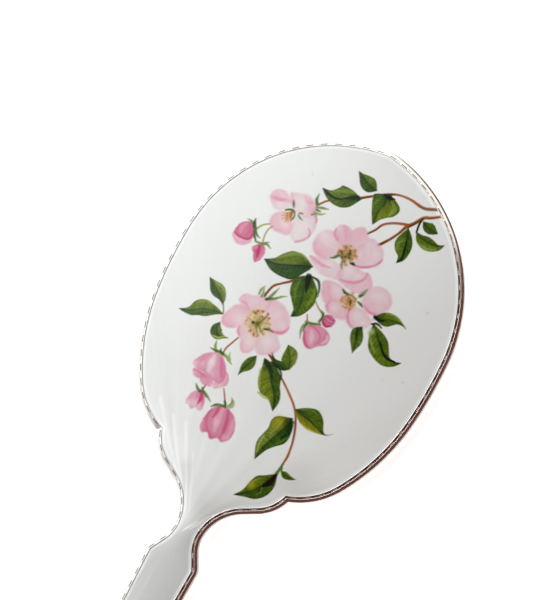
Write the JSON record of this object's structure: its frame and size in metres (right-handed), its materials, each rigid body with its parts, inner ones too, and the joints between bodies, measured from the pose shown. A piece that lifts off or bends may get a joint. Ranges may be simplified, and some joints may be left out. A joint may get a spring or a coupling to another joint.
{
  "type": "hand mirror",
  "caption": "Dressing-table hand mirror with a domed enamelled back in an engraved silver border, a bevelled glass and a slim waisted neck and handle.",
  "frame": {"origin": "under the middle of the bounding box, on the plane the mirror rests on", "axes": "+Y along the handle towards the top of the head, +Z out of the enamelled back, +X across"},
  "size_m": [0.1268, 0.276, 0.0108],
  "materials": {
    "enamel": "glossy translucent white enamel over an engine-turned ground",
    "silver_plate": "engine-turned silver",
    "counter_enamel": "plain fired enamel",
    "silver_border": "polished and engraved silver",
    "silver_inner": "plain silver strip",
    "silver_shell": "polished stamped silver",
    "silver_bezel": "polished silver",
    "glass": "clear bevelled plate glass",
    "silvering": "silvered back of the glass",
    "felt": "green wool felt",
    "board": "thin plain wood",
    "packing": "pressed paper pulp",
    "cork": "cork",
    "brass": "flat brass points",
    "core_wood": "plain beech",
    "tang_steel": "rolled steel strip",
    "rivet_brass": "brass"
  },
  "bodies": {
    "root": {"enamel_panel": "enamel", "back_plate": "silver_plate", "counter_enamel": "counter_enamel", "engraved_border": "silver_border", "plate_bearer": "silver_inner", "front_shell": "silver_shell", "glass_bezel": "silver_bezel", "mirror_glass": "glass", "silvering": "silvering", "packing_felt": "felt", "backing_board": "board", "dome_packing": "packing", "edge_slips": "cork", "board_sprigs": "brass", "handle_core": "core_wood", "neck_tang": "tang_steel", "tang_rivets": "rivet_brass"}
  },
  "joints": []
}
